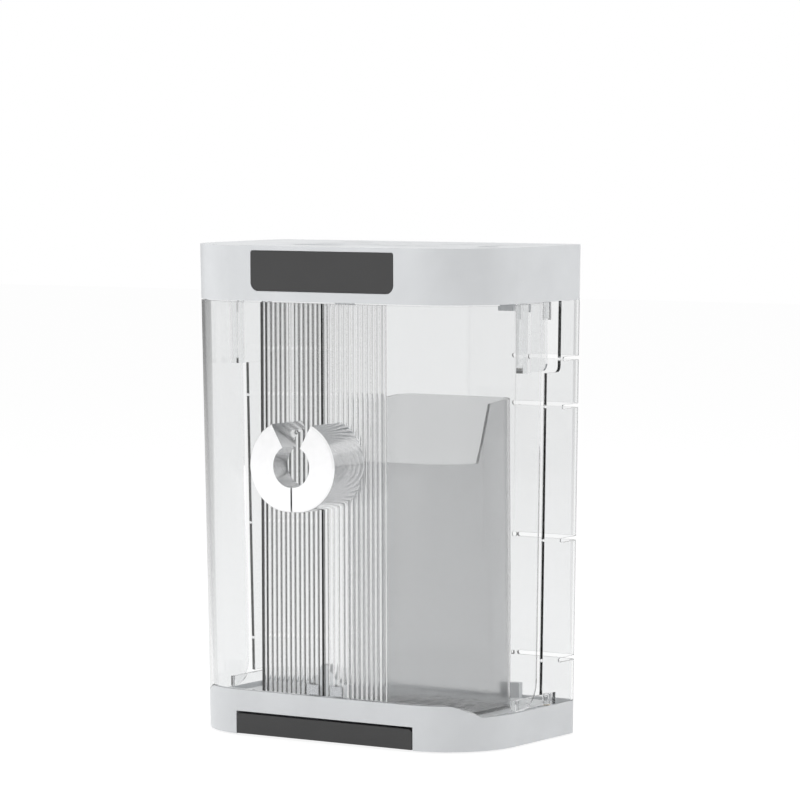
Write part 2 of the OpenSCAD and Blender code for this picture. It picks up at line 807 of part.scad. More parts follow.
module door_catch() {
    scoop_r = (catch_w - catch_peak_w) / 2;
    color("white") difference() {
        translate([-catch_w / 2, catch_y, floor_z]) cube([catch_w, catch_d, sill_h + catch_peak - floor_z]);
        for (s = [-1, 1])
            translate([s * catch_w / 2, catch_y - over, sill_h + catch_shoulder + scoop_r])
                rotate([-90, 0, 0]) cylinder(r = scoop_r, h = catch_d + 2 * over);
        magnet_places() translate([0, 0, -over]) cylinder(r = magnet_r + fit_gap / 2, h = magnet_t + over);
    }
}

module catch_magnets() {
    color("dimgray") magnet_places() cylinder(r = magnet_r, h = magnet_t);
}

module strike_place() {
    translate([catch_w / 4, inner_y - flat_depth, sill_h + catch_shoulder / 2]) children();
}

module strike() {
    color("silver") strike_place() translate([-strike_w / 2, 0, -strike_h / 2])
        cube([strike_w, strike_t, strike_h]);
}

// Doors, drawn for the right side
module door_wall() {
    difference() {
        half_body(0, door_z0, door_z1, seam_gap / 2);
        half_body(clear_wall, door_z0 - over, door_z1 + over, -body_w);
    }
}

module door_ribs() {
    for (i = [0 : rib_n - 1])
        translate([seam_gap / 2 + (i + 0.5) * rib_pitch, inner_y, sill_h + door_gap])
            cylinder(r = rib_r, h = door_z1 - sill_h - door_gap);
    translate([seam_gap / 2 + rib_n * rib_pitch + bead_r, inner_y, sill_h + door_gap])
        cylinder(r = bead_r, h = door_z1 - sill_h - door_gap);
}

// Side view of a door, with its lower rear corner rounded
module door_side() {
    translate([front_y - over, 0]) square([door_run + over - door_corner_r, body_h]);
    translate([front_y - over, door_z0 + door_corner_r]) square([door_run + over, body_h]);
    translate([door_rear - door_corner_r, door_z0 + door_corner_r]) circle(r = door_corner_r);
}

// Hinge arm: a web inwards from the door's wall, a plate back to the axis and a boss on its end
module hinge_arm(z0, h, boss_h, round_r, lap) {
    web_y = door_rear - arm_t - lap;
    intersection() {
        union() {
            translate([hinge_x - arm_t / 2, web_y, z0]) cube([hinge_inset + arm_t, arm_t, h]);
            along_x(hinge_x - arm_t / 2, hinge_x + arm_t / 2) {
                translate([web_y, z0]) square([hinge_y - web_y - round_r, h]);
                translate([web_y, z0 + round_r]) square([hinge_y - web_y, h - round_r]);
                translate([hinge_y - round_r, z0 + round_r]) circle(r = round_r);
            }
            hinge_place() translate([0, 0, z0 + h - boss_h]) cylinder(r = boss_r, h = boss_h);
        }
        half_body(0, door_z0, door_z1);
    }
}

module door() {
    color(clear_tint, 0.35) difference() {
        union() {
            intersection() {
                union() {
                    door_wall();
                    door_ribs();
                }
                above_sill(door_gap);
                along_x(0, body_w) door_side();
            }
            hinge_arm(ear_z, ear_h, pin_grip + over, ear_r, ear_lap);
            hinge_arm(door_z0, arm_h, arm_h, arm_r, arm_lap);
        }
        hinge_place() cylinder(r = pin_r + pin_seat, h = door_z0 + arm_h - over);
        hinge_place() translate([0, 0, door_z1 - pin_grip])
            cylinder(r = pin_r + pin_seat, h = pin_grip + over);
        strike_place() translate([-strike_w / 2 - fit_gap, 0, -strike_h])
            cube([strike_w + 2 * fit_gap, rib_r + flat_depth + over, 1.5 * strike_h + fit_gap]);
        handle_screw_places() {
            cylinder(r = screw_r + screw_play, h = 4 * clear_wall, center = true);
            cylinder(r = screw_head_r + fit_gap, h = rib_r + flat_depth + over);
        }
    }
}

// Hinge pins of the right door
module hinge_pins() {
    color("silver") hinge_place() {
        translate([0, 0, door_z1 - pin_grip])
            cylinder(r = pin_r, h = pin_grip + door_gap + bush_len - over);
        translate([0, 0, side_h - bush_len + over])
            cylinder(r = pin_r, h = bush_len + door_gap + arm_h - 2 * over);
    }
}

module hinge_bushes() {
    color("#c8a060") both_sides() hinge_place() for (z = [side_h - bush_len, cap_z])
        translate([0, 0, z]) difference() {
            cylinder(r = bush_r, h = bush_len);
            translate([0, 0, -over]) cylinder(r = pin_r + pin_play, h = bush_len + 2 * over);
        }
}

// Screws from inside the door forwards into the handle
module handle_screw_places() {
    for (a = handle_screw_angles)
        translate([ring_shift + handle_screw_ring * cos(a), inner_y - flat_depth,
                   ring_z + handle_screw_ring * sin(a)])
            rotate([-90, 0, 0]) children();
}

module handle_screws() {
    color("silver") handle_screw_places() {
        translate([0, 0, -clear_wall - handle_grip])
            cylinder(r = screw_r, h = clear_wall + handle_grip + tip_gap);
        cylinder(r = screw_head_r, h = screw_head_h);
    }
}

// Section of the ring's outside, from the door face out to its rounded front edge
module ring_section() {
    square([ring_r, ring_reach - ring_fillet]);
    square([ring_r - ring_fillet, ring_reach]);
    translate([ring_r - ring_fillet, ring_reach - ring_fillet]) circle(r = ring_fillet);
}

module half_ring_blank() {
    translate([ring_shift, 0, 0]) rotate_extrude() ring_section();
    rotate([90, 0, 90]) linear_extrude(ring_shift) {
        ring_section();
        mirror([1, 0]) ring_section();
    }
}

// One half of the ring handle, drawn for the right door
module handle() {
    notch_reach = 2 * ring_r;
    color("#e0e2e4") translate([0, front_y, ring_z]) rotate([90, 0, 0]) difference() {
        half_ring_blank();
        translate([-body_w + ring_gap / 2, -body_w / 2, -over])
            cube([body_w, body_w, ring_reach + 2 * over]);
        translate([seam_gap, 0, -over]) cylinder(r = ring_hole_r, h = ring_reach + 2 * over);
        translate([ring_shift, 0, -over])
            cylinder(r = ring_r - ring_wall, h = ring_reach - ring_front_t + over);
        translate([0, 0, -over]) linear_extrude(ring_reach + 2 * over)
            polygon([[0, 0], [notch_reach * tan(notch_angle), notch_reach], [0, notch_reach]]);
        for (a = handle_screw_angles)
            translate([ring_shift + handle_screw_ring * cos(a), handle_screw_ring * sin(a), -over])
                cylinder(r = screw_r + pin_seat, h = handle_grip + screw_skin + over);
    }
}

module right_door() { door(); }
module right_handle() { handle(); }
module right_handle_screws() { handle_screws(); }
module right_strike() { strike(); }
module right_hinge_pins() { hinge_pins(); }
module left_door() { mirror([1, 0, 0]) door(); }
module left_handle() { mirror([1, 0, 0]) handle(); }
module left_handle_screws() { mirror([1, 0, 0]) handle_screws(); }
module left_strike() { mirror([1, 0, 0]) strike(); }
module left_hinge_pins() { mirror([1, 0, 0]) hinge_pins(); }

base_shell();
drain_grid();
rubber_feet();
door_catch();
catch_magnets();
rear_shell();
shell_screws();
top_cap();
knife_deck();
slot_sleeves();
deck_screws();
cap_fascia();
chopstick_cup();
hinge_bushes();
right_door();
right_handle();
right_handle_screws();
right_strike();
right_hinge_pins();
left_door();
left_handle();
left_handle_screws();
left_strike();
left_hinge_pins();
drip_tray();
tray_front();
tray_screws();
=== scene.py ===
"""Looks of the knife and chopstick holder.

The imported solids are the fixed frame. Each visible solid gets a copy with its edges rounded, a finish of
its own and a place on the body that carries it. The stage is a white floor under soft light.
"""

from __future__ import annotations

import json
import logging
import math
from dataclasses import dataclass, field
from enum import Enum
from typing import ClassVar

import bmesh
import bpy
from mathutils import Matrix, Vector

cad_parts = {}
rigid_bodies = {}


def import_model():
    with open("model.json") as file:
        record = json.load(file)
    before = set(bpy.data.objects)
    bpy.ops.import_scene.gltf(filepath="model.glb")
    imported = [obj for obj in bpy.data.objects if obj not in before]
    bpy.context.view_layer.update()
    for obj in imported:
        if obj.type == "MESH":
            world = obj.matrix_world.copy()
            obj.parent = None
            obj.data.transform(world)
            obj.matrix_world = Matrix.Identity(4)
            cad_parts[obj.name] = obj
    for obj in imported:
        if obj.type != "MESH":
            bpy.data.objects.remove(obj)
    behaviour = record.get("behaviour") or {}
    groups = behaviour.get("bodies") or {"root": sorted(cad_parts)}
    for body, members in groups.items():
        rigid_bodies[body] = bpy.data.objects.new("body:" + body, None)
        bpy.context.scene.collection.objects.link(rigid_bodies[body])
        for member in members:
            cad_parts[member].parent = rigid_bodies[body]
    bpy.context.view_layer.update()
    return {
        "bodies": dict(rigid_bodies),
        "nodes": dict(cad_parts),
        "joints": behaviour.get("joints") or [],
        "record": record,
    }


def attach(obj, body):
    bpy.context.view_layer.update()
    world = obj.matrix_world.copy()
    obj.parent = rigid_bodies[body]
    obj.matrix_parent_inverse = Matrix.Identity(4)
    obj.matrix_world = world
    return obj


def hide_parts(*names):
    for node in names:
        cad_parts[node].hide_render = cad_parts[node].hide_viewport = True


LOG = logging.getLogger("holder")
MM = 0.001
WELD = 1e-6
SOFT_BELOW = math.radians(40.0)

Colour = tuple[float, float, float]
Socket = bpy.types.NodeSocket


class Ray(Enum):
    """Kinds of ray that a material or the surroundings tell apart."""

    CAMERA = "Is Camera Ray"
    GLOSSY = "Is Glossy Ray"
    CLEAR = "Is Transmission Ray"
    SHADOW = "Is Shadow Ray"
    DIFFUSE = "Is Diffuse Ray"


SEEING = (Ray.CAMERA, Ray.GLOSSY, Ray.CLEAR)
LIGHTING = (Ray.SHADOW, Ray.DIFFUSE)


class ShaderTree:
    """The node tree of a material or world, with short calls to add and join nodes."""

    MIDDLE: ClassVar[tuple[float, float]] = (0.3, 0.7)

    def __init__(self, owner: bpy.types.Material | bpy.types.World, output: str) -> None:
        """Empties the owner's tree and gives it an output.

        Args:
            owner: the material or world.
            output: type name of its output node.
        """
        owner.use_nodes = True
        self.owner = owner
        self.tree = owner.node_tree
        self.tree.nodes.clear()
        self.output = self.add(output)

    @classmethod
    def material(cls, name: str) -> ShaderTree:
        """Makes a new material.

        Args:
            name: the material's name.

        Returns:
            Its tree, with nothing but an output.
        """
        return cls(bpy.data.materials.new(name), "ShaderNodeOutputMaterial")

    def add(self, kind: str, **inputs: object) -> bpy.types.Node:
        """Adds a node and sets its unlinked inputs.

        Args:
            kind: the node's type name.
            inputs: values by input name, with spaces written as underscores.

        Returns:
            The new node.
        """
        node = self.tree.nodes.new(kind)
        for key, value in inputs.items():
            node.inputs[key.replace("_", " ")].default_value = value
        return node

    def join(self, start: Socket, end: Socket) -> None:
        """Links two sockets.

        Args:
            start: the output to link from.
            end: the input to link to.
        """
        self.tree.links.new(start, end)

    def show(self, surface: Socket) -> None:
        """Makes a shader the surface of the material or world.

        Args:
            surface: the shader.
        """
        self.join(surface, self.output.inputs["Surface"])

    def noise(self, scale: float, detail: float = 3.0) -> Socket:
        """Adds a noise pattern in object space.

        Args:
            scale: cells per metre.
            detail: octaves of the pattern.

        Returns:
            The socket with the pattern's value.
        """
        place = self.add("ShaderNodeTexCoord")
        pattern = self.add("ShaderNodeTexNoise", Scale=scale, Detail=detail)
        self.join(place.outputs["Object"], pattern.inputs["Vector"])
        return pattern.outputs["Fac"]

    def spread(self, value: Socket, low: float, high: float) -> Socket:
        """Maps the middle of a pattern onto a range.

        Args:
            value: the pattern.
            low: result where the pattern is low.
            high: result where the pattern is high.

        Returns:
            The socket with the mapped value.
        """
        start, end = self.MIDDLE
        node = self.add("ShaderNodeMapRange", From_Min=start, From_Max=end, To_Min=low, To_Max=high)
        self.join(value, node.inputs["Value"])
        return node.outputs["Result"]

    def tint(
        self, value: Socket, first: Colour, last: Colour, between: tuple[float, float] = MIDDLE
    ) -> Socket:
        """Turns a pattern into a colour between two tones.

        Args:
            value: the pattern.
            first: colour where the pattern is low.
            last: colour where the pattern is high.
            between: values up to which the first colour holds and from which the last one does.

        Returns:
            The socket with the colour.
        """
        ramp = self.add("ShaderNodeValToRGB")
        for stop, place, colour in zip(ramp.color_ramp.elements, between, (first, last)):
            stop.position = place
            stop.color = (*colour, 1.0)
        self.join(value, ramp.inputs["Fac"])
        return ramp.outputs["Color"]

    def relief(self, value: Socket, strength: float, depth: float) -> Socket:
        """Turns a pattern into a fine relief.

        Args:
            value: the pattern.
            strength: share of the relief that shows.
            depth: depth of the relief in metres.

        Returns:
            The socket with the bent normal.
        """
        bump = self.add("ShaderNodeBump", Strength=strength, Distance=depth)
        self.join(value, bump.inputs["Height"])
        return bump.outputs["Normal"]

    def attribute(self, name: str) -> bpy.types.Node:
        """Reads an attribute of the mesh.

        Args:
            name: the attribute's name.

        Returns:
            The node that reads it.
        """
        node = self.add("ShaderNodeAttribute")
        node.attribute_name = name
        return node

    def rays(self, kinds: tuple[Ray, ...]) -> Socket:
        """Adds a test for some kinds of ray.

        Args:
            kinds: the kinds to find.

        Returns:
            The socket that is 1 for these rays and 0 for all others.
        """
        path = self.add("ShaderNodeLightPath")
        value = path.outputs[kinds[0].value]
        for kind in kinds[1:]:
            most = self.add("ShaderNodeMath")
            most.operation = "MAXIMUM"
            self.join(value, most.inputs[0])
            self.join(path.outputs[kind.value], most.inputs[1])
            value = most.outputs[0]
        return value

    def mix(self, share: Socket, first: Socket, last: Socket) -> Socket:
        """Mixes two shaders.

        Args:
            share: share of the last shader.
            first: shader that shows where the share is 0.
            last: shader that shows where the share is 1.

        Returns:
            The socket with the mixed shader.
        """
        node = self.add("ShaderNodeMixShader")
        self.join(share, node.inputs["Fac"])
        self.join(first, node.inputs[1])
        self.join(last, node.inputs[2])
        return node.outputs["Shader"]


@dataclass(frozen=True)
class Moulded:
    """Moulded plastic with a fine eroded skin.

    Attributes:
        name: the finish's name.
        colour: its linear colour.
        roughness: its middle roughness.
        grain: cells of the skin per metre.
        depth: depth of the skin in metres.
        vary: share by which the colour wanders.
        drift: cells of the wandering colour per metre.
        swing: how far the roughness goes below and above its middle.
        relief: share of the skin's relief that shows.
        ior: refractive index.
    """

    name: str
    colour: Colour
    roughness: float
    grain: float = 2600.0
    depth: float = 0.03 * MM
    vary: float = 0.03
    drift: float = 35.0
    swing: tuple[float, float] = (0.05, 0.06)
    relief: float = 0.25
    ior: float = 1.5

    def material(self) -> bpy.types.Material:
        """Builds the material.

        Returns:
            The material.
        """
        tree = ShaderTree.material(self.name)
        skin = tree.add("ShaderNodeBsdfPrincipled", IOR=self.ior)
        dark = tuple(part * (1.0 - self.vary) for part in self.colour)
        light = tuple(min(1.0, part * (1.0 + self.vary)) for part in self.colour)
        tree.join(tree.tint(tree.noise(self.drift), dark, light), skin.inputs["Base Color"])
        fine = tree.noise(self.grain, 2.0)
        low, high = self.roughness - self.swing[0], self.roughness + self.swing[1]
        tree.join(tree.spread(fine, low, high), skin.inputs["Roughness"])
        tree.join(tree.relief(fine, self.relief, self.depth), skin.inputs["Normal"])
        tree.show(skin.outputs["BSDF"])
        return tree.owner


@dataclass(frozen=True)
class Clear:
    """See-through plastic that greys where the eye runs along it.

    Attributes:
        name: the finish's name.
        face: transmitted colour seen square on.
        edge: transmitted colour seen along the surface.
        low: lowest roughness.
        high: highest roughness.
        absorb: absorption per metre inside the wall.
        ior: refractive index.
        greying: where the grey begins and is full, from 0 square on to 1 along the surface.
        flow: cells of the uneven gloss per metre.
        painted_rib_shade: colour of the shade painted along rib flanks, where a mesh carries the attribute
            PAINTED_RIB_SHADE.
    """

    name: str
    face: Colour
    edge: Colour
    low: float = 0.0
    high: float = 0.02
    absorb: float = 16.0
    ior: float = 1.47
    greying: tuple[float, float] = (0.62, 0.95)
    flow: float = 40.0
    # Painted shade: near-black laid on rib flanks, where the ribs bend light away.
    painted_rib_shade: Colour = (0.03, 0.03, 0.031)

    # Name of the face attribute that says how much painted shade each face gets.
    PAINTED_RIB_SHADE: ClassVar[str] = "painted_rib_shade"

    def material(self) -> bpy.types.Material:
        """Builds the material.

        Returns:
            The material.
        """
        tree = ShaderTree.material(self.name)
        skin = tree.add("ShaderNodeBsdfPrincipled", IOR=self.ior, Transmission_Weight=1.0)
        facing = tree.add("ShaderNodeLayerWeight", Blend=0.5)
        shade = tree.tint(facing.outputs["Facing"], self.face, self.edge, self.greying)
        tree.join(shade, skin.inputs["Base Color"])
        gloss = tree.spread(tree.noise(self.flow, 2.0), self.low, self.high)
        tree.join(gloss, skin.inputs["Roughness"])
        inside = tree.add("ShaderNodeVolumeAbsorption", Density=self.absorb, Color=(*self.face, 1.0))
        tree.show(self.lit_through(tree, self.rib_shaded(tree, skin.outputs["BSDF"])))
        tree.join(inside.outputs["Volume"], tree.output.inputs["Volume"])
        return tree.owner

    def rib_shaded(self, tree: ShaderTree, skin: Socket) -> Socket:
        """Paints shade along the flanks of ribs, as a near-black diffuse mixed in by a face attribute.

        Args:
            tree: the material's tree.
            skin: the clear surface.

        Returns:
            The socket with the lined surface.
        """
        # Painted shade: near-black diffuse mixed in as far as the face attribute says.
        depth = tree.attribute(self.PAINTED_RIB_SHADE)
        dark = tree.add("ShaderNodeBsdfDiffuse", Color=(*self.painted_rib_shade, 1.0))
        return tree.mix(depth.outputs["Fac"], skin, dark.outputs["BSDF"])

    def lit_through(self, tree: ShaderTree, skin: Socket) -> Socket:
        """Lets light fall straight through the walls onto what stands behind them.

        Args:
            tree: the material's tree.
            skin: the surface that the eye sees.

        Returns:
            The socket with the surface for every kind of ray.
        """
        pane = tree.add("ShaderNodeBsdfTransparent", Color=(*self.face, 1.0))
        return tree.mix(tree.rays(LIGHTING), skin, pane.outputs["BSDF"])


@dataclass(frozen=True)
class Metal:
    """Bare or plated metal.

    Attributes:
        name: the finish's name.
        colour: its linear reflectance.
        low: lowest roughness.
        high: highest roughness.
        grain: cells of the wear per metre.
        worn: share of the colour that is left where it is worn.
        relief: share of the wear's relief that shows.
        depth: depth of the wear in metres.
    """

    name: str
    colour: Colour
    low: float
    high: float
    grain: float = 300.0
    worn: float = 0.96
    relief: float = 0.04
    depth: float = 0.02 * MM

    def material(self) -> bpy.types.Material:
        """Builds the material.

        Returns:
            The material.
        """
        tree = ShaderTree.material(self.name)
        skin = tree.add("ShaderNodeBsdfPrincipled", Metallic=1.0)
        wear = tree.noise(self.grain, 4.0)
        dark = tuple(part * self.worn for part in self.colour)
        tree.join(tree.tint(wear, dark, self.colour), skin.inputs["Base Color"])
        tree.join(tree.spread(wear, self.low, self.high), skin.inputs["Roughness"])
        tree.join(tree.relief(wear, self.relief, self.depth), skin.inputs["Normal"])
        tree.show(skin.outputs["BSDF"])
        return tree.owner


Finish = Moulded | Clear | Metal


class Finishes:
    """The holder's materials by the record's slot names."""

    ALL: ClassVar[tuple[Finish, ...]] = (
        Moulded("light_plastic", (0.70, 0.715, 0.73), 0.38),
        Moulded("deck_plastic", (0.66, 0.675, 0.69), 0.42),
        Moulded("white_plastic", (0.86, 0.87, 0.88), 0.4),
        Moulded("dark_plastic", (0.035, 0.035, 0.0355), 0.46, vary=0.06),
        Moulded("rubber", (0.03, 0.03, 0.031), 0.7, grain=1500.0, depth=0.06 * MM, vary=0.2),
        Clear("clear_plastic", (0.9, 0.905, 0.907), (0.3, 0.305, 0.31), high=0.008),
        Clear(
            "smoke_plastic",
            (0.74, 0.742, 0.745),
            (0.48, 0.483, 0.486),
            low=0.1,
            high=0.16,
            absorb=40.0,
            ior=1.3,
        ),
        Metal("chrome", (0.9, 0.9, 0.905), 0.13, 0.18),
        Metal("magnet", (0.72, 0.72, 0.70), 0.18, 0.26),
        Metal("steel", (0.62, 0.63, 0.65), 0.2, 0.32),
        Metal("brass", (0.72, 0.55, 0.28), 0.22, 0.34),
    )

    def __init__(self) -> None:
        """Builds every material once."""
        self.by_slot = {finish.name: finish.material() for finish in self.ALL}

    def dress(self, piece: bpy.types.Object, slot: str) -> None:
        """Gives a piece the finish of one slot and no other.

        Args:
            piece: the piece to dress.
            slot: the record's material slot.
        """
        piece.data.materials.clear()
        piece.data.materials.append(self.by_slot[slot])


@dataclass
class Bench:
    """What the builders share: the frame, the finishes and the list of pieces made.

    Attributes:
        finishes: the materials.
        made: names of the pieces made so far.
    """

    frame: dict
    finishes: Finishes
    made: list[str] = field(default_factory=list)

    FLAT_BELOW: ClassVar[float] = math.radians(0.4)
    EDGE_ABOVE: ClassVar[float] = math.radians(32.0)
    FACE_WEIGHT: ClassVar[int] = 100

    def __post_init__(self) -> None:
        """Reads each node's body and slot from the record."""
        record = self.frame["record"]
        bodies = record["behaviour"]["bodies"]
        self.body_of = {node: body for body, nodes in bodies.items() for node in nodes}
        self.slot_of = {part["node"]: part["material_slot"] for part in record["subparts"]}

    def settle(self, piece: bpy.types.Object, body: str, slot: str, *nodes: str) -> None:
        """Dresses a finished piece, puts it on its body and hides the nodes it stands for.

        Args:
            piece: the finished mesh object.
            body: the body that carries it.
            slot: the record's material slot.
            nodes: nodes that the piece replaces.
        """
        self.finishes.dress(piece, slot)
        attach(piece, body)
        if nodes:
            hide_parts(*nodes)
        self.made.append(piece.name)
        LOG.info("%s rides on %s", piece.name, body)

    def keep(self, node: str) -> None:
        """Leaves a solid as it is and gives it its finish.

        Args:
            node: the node to keep.
        """
        self.finishes.dress(self.frame["nodes"][node], self.slot_of[node])
        LOG.info("%s keeps its solid", node)

    def cleaned(self, node: str, shrink: float) -> bpy.types.Mesh:
        """Copies a solid's mesh without the edges that split its flat faces.

        Args:
            node: the node to copy.
            shrink: depth by which every face is drawn in, in metres.

        Returns:
            The clean mesh.
        """
        mesh = self.frame["nodes"][node].data.copy()
        shape = bmesh.new()
        shape.from_mesh(mesh)
        bmesh.ops.remove_doubles(shape, verts=shape.verts, dist=WELD)
        bmesh.ops.dissolve_limit(shape, angle_limit=self.FLAT_BELOW, verts=shape.verts, edges=shape.edges)
        if shrink:
            shape.normal_update()
            moves = [(point, point.normal * point.calc_shell_factor() * shrink) for point in shape.verts]
            for point, move in moves:
                point.co -= move
        shape.to_mesh(mesh)
        shape.free()
        return mesh

    def rounded(self, node: str, radius: float, segments: int = 2, shrink: float = 0.0) -> bpy.types.Object:
        """Replaces a solid by a copy whose edges are rounded.

        Args:
            node: the node to copy.
            radius: radius of the rounding in metres.
            segments: facets across a rounding.
            shrink: depth by which every face is drawn in, so that it clears a face that it lies on.

        Returns:
            The rounded copy.
        """
        piece = link(f"{node}_skin", self.cleaned(node, shrink))
        bevel = piece.modifiers.new("rounding", "BEVEL")
        bevel.width = radius
        bevel.segments = segments
        bevel.limit_method = "ANGLE"
        bevel.angle_limit = self.EDGE_ABOVE
        bake_modifiers(piece)
        smooth(piece)
        even = piece.modifiers.new("even", "WEIGHTED_NORMAL")
        even.mode = "FACE_AREA"
        even.weight = self.FACE_WEIGHT
        even.keep_sharp = True
        bake_modifiers(piece)
        self.settle(piece, self.body_of[node], self.slot_of[node], node)
        return piece


def link(name: str, mesh: bpy.types.Mesh) -> bpy.types.Object:
    """Puts a mesh into the scene as an object at the origin.

    Args:
        name: the object's name.
        mesh: its mesh.

    Returns:
        The object.
    """
    piece = bpy.data.objects.new(name, mesh)
    bpy.context.scene.collection.objects.link(piece)
    return piece


def bake_modifiers(piece: bpy.types.Object) -> None:
    """Turns a piece's modifiers into plain mesh and removes them.

    Args:
        piece: the piece to change.
    """
    graph = bpy.context.evaluated_depsgraph_get()
    mesh = bpy.data.meshes.new_from_object(piece.evaluated_get(graph))
    piece.modifiers.clear()
    piece.data = mesh


def smooth(piece: bpy.types.Object) -> None:
    """Shades a piece smooth, with hard edges above a set angle.

    Args:
        piece: the piece to shade.
    """
    piece.data.shade_smooth()
    piece.data.set_sharp_from_angle(angle=SOFT_BELOW)


def islands(node: bpy.types.Object) -> list[tuple[Vector, Vector]]:
    """Finds the separate solids of a node.

    Args:
        node: a node of the frame.

    Returns:
        The lowest and highest corner of each solid's box.
    """
    shape = bmesh.new()
    shape.from_mesh(node.data)
    bmesh.ops.remove_doubles(shape, verts=shape.verts, dist=WELD)
    boxes, left = [], set(shape.verts)
    while left:
        found, queue = set(), [left.pop()]
        while queue:
            point = queue.pop()
            found.add(point)
            near = [edge.other_vert(point) for edge in point.link_edges]
            queue += [other for other in near if other in left]
            left.difference_update(near)
        sides = [[point.co[axis] for point in found] for axis in range(3)]
        boxes.append((Vector(min(side) for side in sides), Vector(max(side) for side in sides)))
    shape.free()
    return boxes


class SocketKind(Enum):
    """Kinds of input of a node group."""

    LENGTH = "NodeSocketFloat"
    ANGLES = "NodeSocketVector"
    SHAPE = "NodeSocketGeometry"
    FINISH = "NodeSocketMaterial"


class Facing(Enum):
    """Way that the heads of a set of screws face: axis, end of the box and turn from +Z."""

    BACK = (1, 1, (-math.pi / 2.0, 0.0, 0.0))
    DOWN = (2, 0, (math.pi, 0.0, 0.0))


class ScrewTree:
    """The node tree that sets a cross-head screw on each point of a mesh."""

    NAME: ClassVar[str] = "cross_head_screws"
    INPUTS: ClassVar[dict[str, SocketKind]] = {
        "Points": SocketKind.SHAPE,
        "Head radius": SocketKind.LENGTH,
        "Under-head radius": SocketKind.LENGTH,
        "Head height": SocketKind.LENGTH,
        "Shank radius": SocketKind.LENGTH,
        "Shank length": SocketKind.LENGTH,
        "Turn": SocketKind.ANGLES,
        "Finish": SocketKind.FINISH,
    }
    SLOT_L: ClassVar[float] = 3.2 * MM
    SLOT_W: ClassVar[float] = 0.9 * MM
    SLOT_DEPTH: ClassVar[float] = 0.8 * MM
    HEAD_SIDES: ClassVar[int] = 32
    SHANK_SIDES: ClassVar[int] = 24

    def __init__(self) -> None:
        """Builds the tree, with named inputs for the screw's sizes."""
        self.group = bpy.data.node_groups.new(self.NAME, "GeometryNodeTree")
        for label, kind in self.INPUTS.items():
            self.group.interface.new_socket(label, in_out="INPUT", socket_type=kind.value)
        shape = SocketKind.SHAPE.value
        self.group.interface.new_socket("Screws", in_out="OUTPUT", socket_type=shape)
        self.given = self.add("NodeGroupInput").outputs
        result = self.add("NodeGroupOutput")
        screw = self.add("GeometryNodeJoinGeometry")
        self.join(self.shank(), screw.inputs["Geometry"])
        self.join(self.head(), screw.inputs["Geometry"])
        self.join(self.placed(screw.outputs["Geometry"]), result.inputs["Screws"])

    def add(self, kind: str) -> bpy.types.Node:
        """Adds a node.

        Args:
            kind: the node's type name.

        Returns:
            The new node.
        """
        return self.group.nodes.new(kind)

    def join(self, start: Socket, end: Socket) -> None:
        """Links two sockets.

        Args:
            start: the output to link from.
            end: the input to link to.
        """
        self.group.links.new(start, end)

    def lowered(self, mesh: Socket, height: Socket, share: float) -> Socket:
        """Moves a shape down its axis by a share of a height.

        Args:
            mesh: the shape.
            height: the height.
            share: the share of it.

        Returns:
            The socket with the moved shape.
        """
        drop = self.add("ShaderNodeMath")
        drop.operation = "MULTIPLY"
        drop.inputs[1].default_value = -share
        self.join(height, drop.inputs[0])
        offset = self.add("ShaderNodeCombineXYZ")
        self.join(drop.outputs[0], offset.inputs["Z"])
        move = self.add("GeometryNodeTransform")
        self.join(mesh, move.inputs["Geometry"])
        self.join(offset.outputs[0], move.inputs["Translation"])
        return move.outputs["Geometry"]

    def head(self) -> Socket:
        """Makes the head, with its cross cut into it.

        Returns:
            The socket with the head, its top at the origin.
        """
        cone = self.add("GeometryNodeMeshCone")
        cone.inputs["Vertices"].default_value = self.HEAD_SIDES
        self.join(self.given["Head radius"], cone.inputs["Radius Top"])
        self.join(self.given["Under-head radius"], cone.inputs["Radius Bottom"])
        self.join(self.given["Head height"], cone.inputs["Depth"])
        cross = self.add("GeometryNodeJoinGeometry")
        for length, width in ((self.SLOT_L, self.SLOT_W), (self.SLOT_W, self.SLOT_L)):
            bar = self.add("GeometryNodeMeshCube")
            bar.inputs["Size"].default_value = (length, width, 2.0 * self.SLOT_DEPTH)
            self.join(bar.outputs["Mesh"], cross.inputs["Geometry"])
        cut = self.add("GeometryNodeMeshBoolean")
        cut.operation = "DIFFERENCE"
        cut.solver = "EXACT"
        self.join(self.lowered(cone.outputs["Mesh"], self.given["Head height"], 1.0), cut.inputs["Mesh 1"])
        self.join(cross.outputs["Geometry"], cut.inputs["Mesh 2"])
        return cut.outputs["Mesh"]

    def shank(self) -> Socket:
        """Makes the shank under the head.

        Returns:
            The socket with the shank.
        """
        rod = self.add("GeometryNodeMeshCylinder")
        rod.inputs["Vertices"].default_value = self.SHANK_SIDES
        self.join(self.given["Shank radius"], rod.inputs["Radius"])
        self.join(self.given["Shank length"], rod.inputs["Depth"])
        low = self.lowered(rod.outputs["Mesh"], self.given["Shank length"], 0.5)
        return self.lowered(low, self.given["Head height"], 1.0)

    def placed(self, screw: Socket) -> Socket:
        """Sets a screw on each point and gives it its finish.

        Args:
            screw: the socket with one screw.

        Returns:
            The socket with all screws.
        """
        spin = self.add("FunctionNodeEulerToRotation")
        self.join(self.given["Turn"], spin.inputs["Euler"])
        place = self.add("GeometryNodeInstanceOnPoints")
        self.join(self.given["Points"], place.inputs["Points"])
        self.join(screw, place.inputs["Instance"])
        self.join(spin.outputs["Rotation"], place.inputs["Rotation"])
        real = self.add("GeometryNodeRealizeInstances")
        self.join(place.outputs["Instances"], real.inputs["Geometry"])
        dress = self.add("GeometryNodeSetMaterial")
        self.join(real.outputs["Geometry"], dress.inputs["Geometry"])
        self.join(self.given["Finish"], dress.inputs["Material"])
        return dress.outputs["Geometry"]


